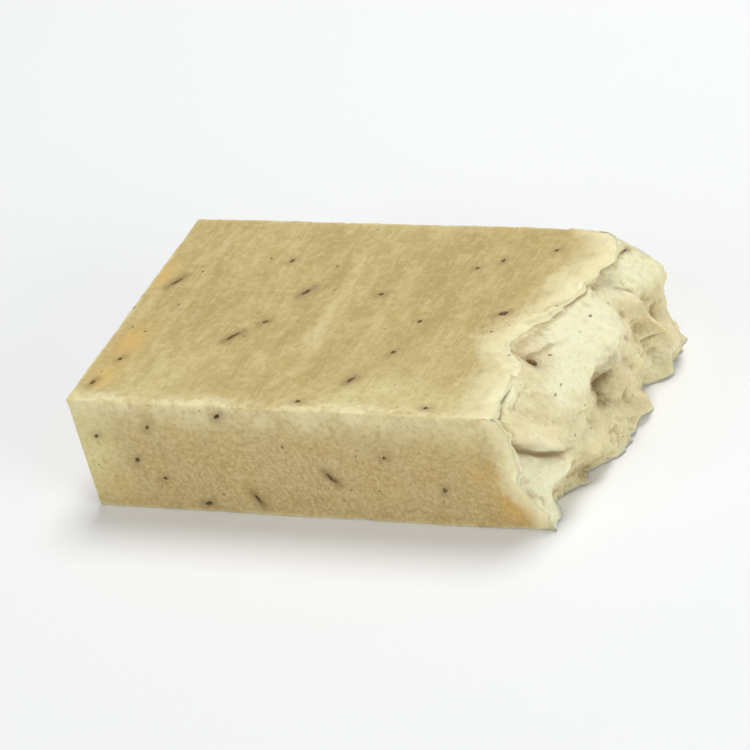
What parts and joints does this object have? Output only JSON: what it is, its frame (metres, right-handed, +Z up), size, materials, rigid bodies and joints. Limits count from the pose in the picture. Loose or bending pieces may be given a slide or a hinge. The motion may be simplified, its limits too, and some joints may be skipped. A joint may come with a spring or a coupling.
{
  "type": "bar of soap",
  "caption": "Hand-cut bar of soap with smooth cut faces, moulded sides, dried herb in its skin and one craggy end.",
  "frame": {"origin": "middle of the bar's box, on the large cut face that it rests on", "axes": "+X along the bar to its craggy end, +Y across it to the far moulded side, +Z up through its thickness"},
  "size_m": [0.091, 0.0556, 0.0225],
  "materials": {
    "soap": "waxy, slightly translucent cream and tan soap, satin on the cut faces and chalky on the craggy end",
    "dried_herb": "matte dark brown dried plant bits"
  },
  "bodies": {
    "root": {"soap_bar": "soap", "herb_flecks": "dried_herb"}
  },
  "joints": []
}
